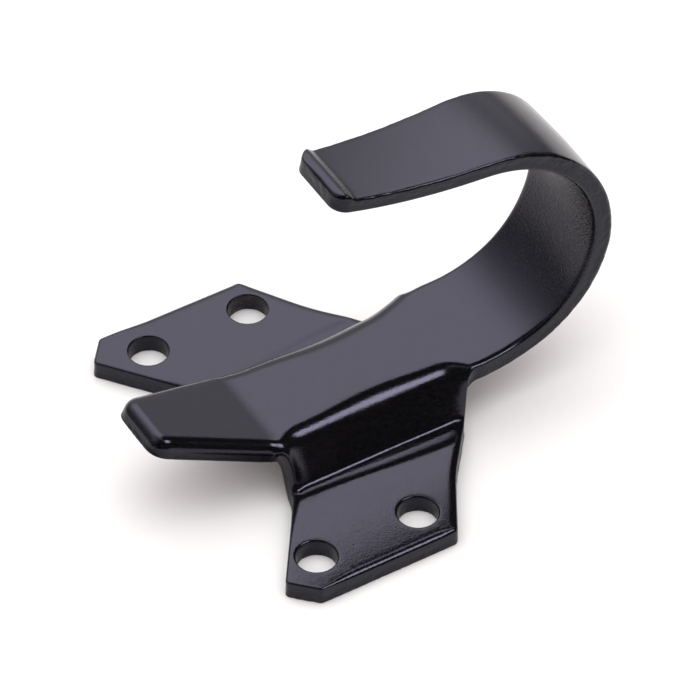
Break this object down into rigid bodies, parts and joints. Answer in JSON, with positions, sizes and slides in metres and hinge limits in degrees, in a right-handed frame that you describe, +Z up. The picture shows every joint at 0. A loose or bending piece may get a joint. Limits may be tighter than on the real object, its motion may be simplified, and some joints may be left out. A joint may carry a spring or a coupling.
{
  "type": "hook plate",
  "caption": "Heavy pressed-steel hook with a raised channel, splayed bolt wings, a short bent-up tail and a large round hook, painted semi-gloss black.",
  "frame": {"origin": "centre of the four bolt holes, on the mounting surface under the wings", "axes": "X along the strip towards the big hook, Y across the two wings, Z up and away from the mounting surface"},
  "size_m": [0.1241, 0.1, 0.084],
  "materials": {
    "black_paint": "semi-gloss"
  },
  "bodies": {
    "root": {"hook_plate": "black_paint"}
  },
  "joints": []
}
